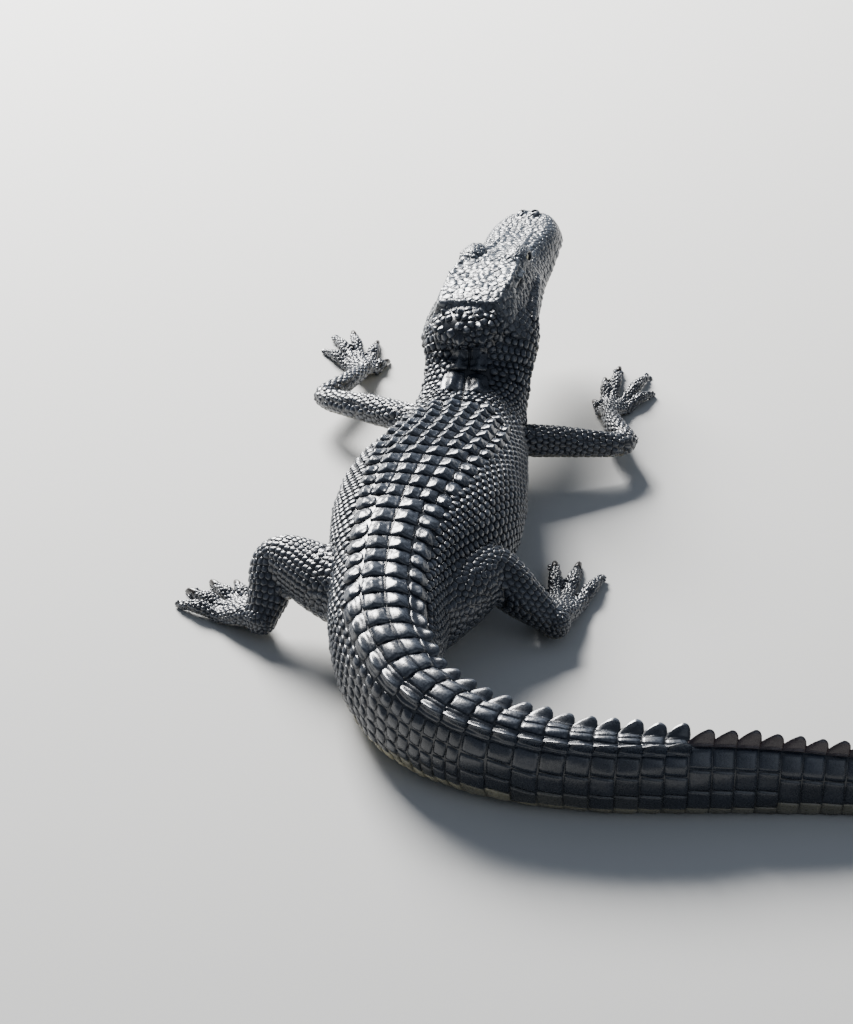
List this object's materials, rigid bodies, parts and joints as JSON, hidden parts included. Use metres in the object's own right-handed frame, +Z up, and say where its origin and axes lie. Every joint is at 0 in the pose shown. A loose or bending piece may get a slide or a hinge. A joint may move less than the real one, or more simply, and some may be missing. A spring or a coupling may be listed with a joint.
{
  "type": "american alligator",
  "caption": "Life-size alligator lying on its belly, head raised and turned, legs spread, tail curving to one side, with keeled back scutes and a crested tail.",
  "frame": {"origin": "on the flat of the belly, under the middle of the trunk, at floor level", "axes": "+Z up, +Y forward along the trunk towards the head, +X to the animal's right, the side its tail bends to"},
  "size_m": [0.9978, 1.0076, 0.1812],
  "materials": {
    "hide": "charcoal blue-black scaly hide with silvery worn horn on the scutes",
    "throat": "pale yellowish grey scaly hide",
    "eye": "wet olive-gold eye",
    "claw": "dark horn"
  },
  "bodies": {
    "root": {"head": "hide", "lower_jaw": "throat", "eye_left": "eye", "eye_right": "eye", "neck": "hide", "torso": "hide", "tail_base": "hide", "tail_mid": "hide", "tail_rear": "hide", "tail_tip": "hide", "upper_arm_left": "hide", "forearm_left": "hide", "hand_left": "hide", "thigh_left": "hide", "shank_left": "hide", "foot_left": "hide", "claw_hand_left_1": "claw", "claw_hand_left_2": "claw", "claw_hand_left_3": "claw", "claw_foot_left_1": "claw", "claw_foot_left_2": "claw", "claw_foot_left_3": "claw", "upper_arm_right": "hide", "forearm_right": "hide", "hand_right": "hide", "thigh_right": "hide", "shank_right": "hide", "foot_right": "hide", "claw_hand_right_1": "claw", "claw_hand_right_2": "claw", "claw_hand_right_3": "claw", "claw_foot_right_1": "claw", "claw_foot_right_2": "claw", "claw_foot_right_3": "claw"}
  },
  "joints": []
}
